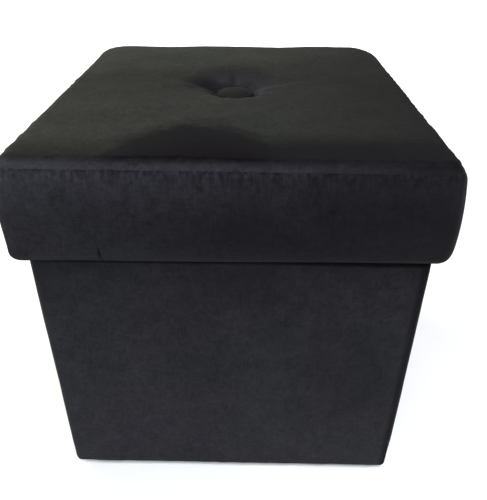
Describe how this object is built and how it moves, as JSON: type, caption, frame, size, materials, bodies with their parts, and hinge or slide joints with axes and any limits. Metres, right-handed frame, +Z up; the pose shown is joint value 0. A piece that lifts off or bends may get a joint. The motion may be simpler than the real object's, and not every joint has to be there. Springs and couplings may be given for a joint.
{
  "type": "storage ottoman",
  "caption": "Square upholstered storage ottoman: cloth-wrapped wooden box under a thick padded lid with a covered button, which lifts off.",
  "frame": {"origin": "middle of the footprint, on the floor, level with the undersides of the glides", "axes": "+Z up through the button, -Y towards the front, +X to the right seen from the front"},
  "size_m": [0.38, 0.38, 0.3943],
  "materials": {
    "microsuede": "brushed suede nap, matt, charcoal black",
    "spunbond": "thin black spunbond nonwoven with a point-bond pattern",
    "greyboard": "matt grey board",
    "mdf": "raw MDF, satin faces and furry edges",
    "plywood": "raw birch plywood with layered edges",
    "pine": "planed pine, unfinished",
    "foam": "open-cell polyurethane foam, pale cream",
    "wadding": "white polyester wadding",
    "glide_plastic": "moulded black polypropylene",
    "anchor_plastic": "moulded natural nylon",
    "twine": "waxed twisted tufting twine",
    "zinc_steel": "bright zinc-plated steel"
  },
  "bodies": {
    "base": {"floor_panel": "mdf", "front_wall": "mdf", "back_wall": "mdf", "left_wall": "mdf", "right_wall": "mdf", "corner_block_front_left": "pine", "corner_block_front_right": "pine", "corner_block_back_right": "pine", "corner_block_back_left": "pine", "wall_screws": "zinc_steel", "floor_screws": "zinc_steel", "front_pad": "foam", "back_pad": "foam", "left_pad": "foam", "right_pad": "foam", "base_cover": "microsuede", "rim_staples": "zinc_steel", "bottom_staples": "zinc_steel", "cavity_lining": "spunbond", "lining_staples": "zinc_steel", "floor_liner": "greyboard", "dust_cover": "spunbond", "dust_cover_staples": "zinc_steel", "glide_front_left": "glide_plastic", "glide_front_right": "glide_plastic", "glide_back_right": "glide_plastic", "glide_back_left": "glide_plastic", "glide_nails": "zinc_steel"},
    "lid": {"lid_board": "plywood", "cleat_front": "pine", "cleat_back": "pine", "cleat_left": "pine", "cleat_right": "pine", "cleat_screws": "zinc_steel", "lid_foam": "foam", "lid_wadding": "wadding", "lid_top_panel": "microsuede", "lid_side_band": "microsuede", "lid_staples": "zinc_steel", "lid_lining": "spunbond", "lid_lining_staples": "zinc_steel", "button_cover": "microsuede", "button_shell": "zinc_steel", "button_back": "zinc_steel", "tufting_twine": "twine", "twine_anchor": "anchor_plastic"}
  },
  "joints": [
    {"name": "lid_lift", "type": "slide", "parent": "base", "child": "lid", "axis": [0, 0, 1], "range_m": [0, 0.3]}
  ]
}
